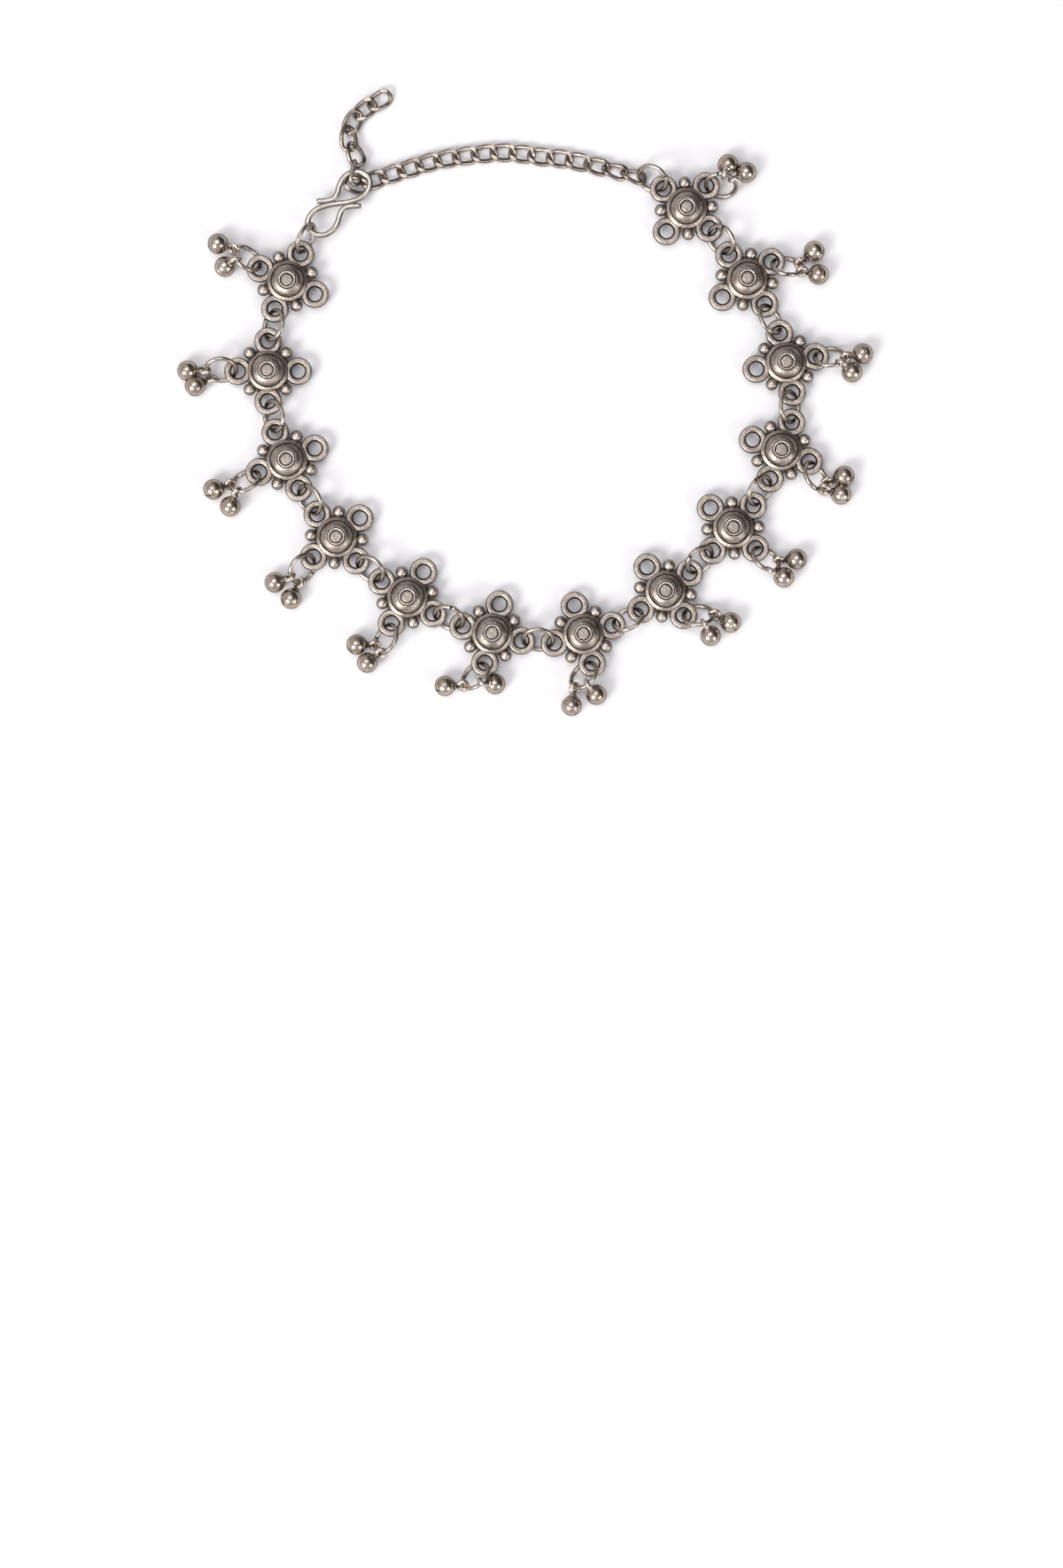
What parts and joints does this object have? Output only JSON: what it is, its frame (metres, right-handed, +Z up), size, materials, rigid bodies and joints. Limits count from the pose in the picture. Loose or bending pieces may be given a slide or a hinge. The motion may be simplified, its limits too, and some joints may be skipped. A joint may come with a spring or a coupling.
{
  "type": "anklet",
  "caption": "Payal anklet lying flat: domed cast rosettes joined by jump rings, round bell drops, an S-shaped hook and a curb chain with a free tail.",
  "frame": {"origin": "centre of the underside of the bounding box", "axes": "+Z up from the surface it lies on, +X along the widest way across the loop, +Y towards the chain and the hook"},
  "size_m": [0.1214, 0.1094, 0.0055],
  "materials": {
    "antique_silver": "oxidised satin white metal",
    "bright_wire": "smooth drawn wire",
    "polished_nickel": "polished, a little tarnished",
    "pale_wire": "smooth flattened wire",
    "brown_nickel": "polished, dark in the joints"
  },
  "bodies": {
    "root": {"rosette_01": "antique_silver", "rosette_02": "antique_silver", "rosette_03": "antique_silver", "rosette_04": "antique_silver", "rosette_05": "antique_silver", "rosette_06": "antique_silver", "rosette_07": "antique_silver", "rosette_08": "antique_silver", "rosette_09": "antique_silver", "rosette_10": "antique_silver", "rosette_11": "antique_silver", "rosette_12": "antique_silver", "rosette_13": "antique_silver", "link_ring_01": "bright_wire", "link_ring_02": "bright_wire", "link_ring_03": "bright_wire", "link_ring_04": "bright_wire", "link_ring_05": "bright_wire", "link_ring_06": "bright_wire", "link_ring_07": "bright_wire", "link_ring_08": "bright_wire", "link_ring_09": "bright_wire", "link_ring_10": "bright_wire", "link_ring_11": "bright_wire", "link_ring_12": "bright_wire", "bell_drop_01": "polished_nickel", "bell_drop_02": "polished_nickel", "bell_drop_03": "polished_nickel", "bell_drop_04": "polished_nickel", "bell_drop_05": "polished_nickel", "bell_drop_06": "polished_nickel", "bell_drop_07": "polished_nickel", "bell_drop_08": "polished_nickel", "bell_drop_09": "polished_nickel", "bell_drop_10": "polished_nickel", "bell_drop_11": "polished_nickel", "bell_drop_12": "polished_nickel", "bell_drop_13": "polished_nickel", "hook_ring": "bright_wire", "chain_ring": "bright_wire", "s_hook": "pale_wire", "curb_chain": "brown_nickel"}
  },
  "joints": []
}
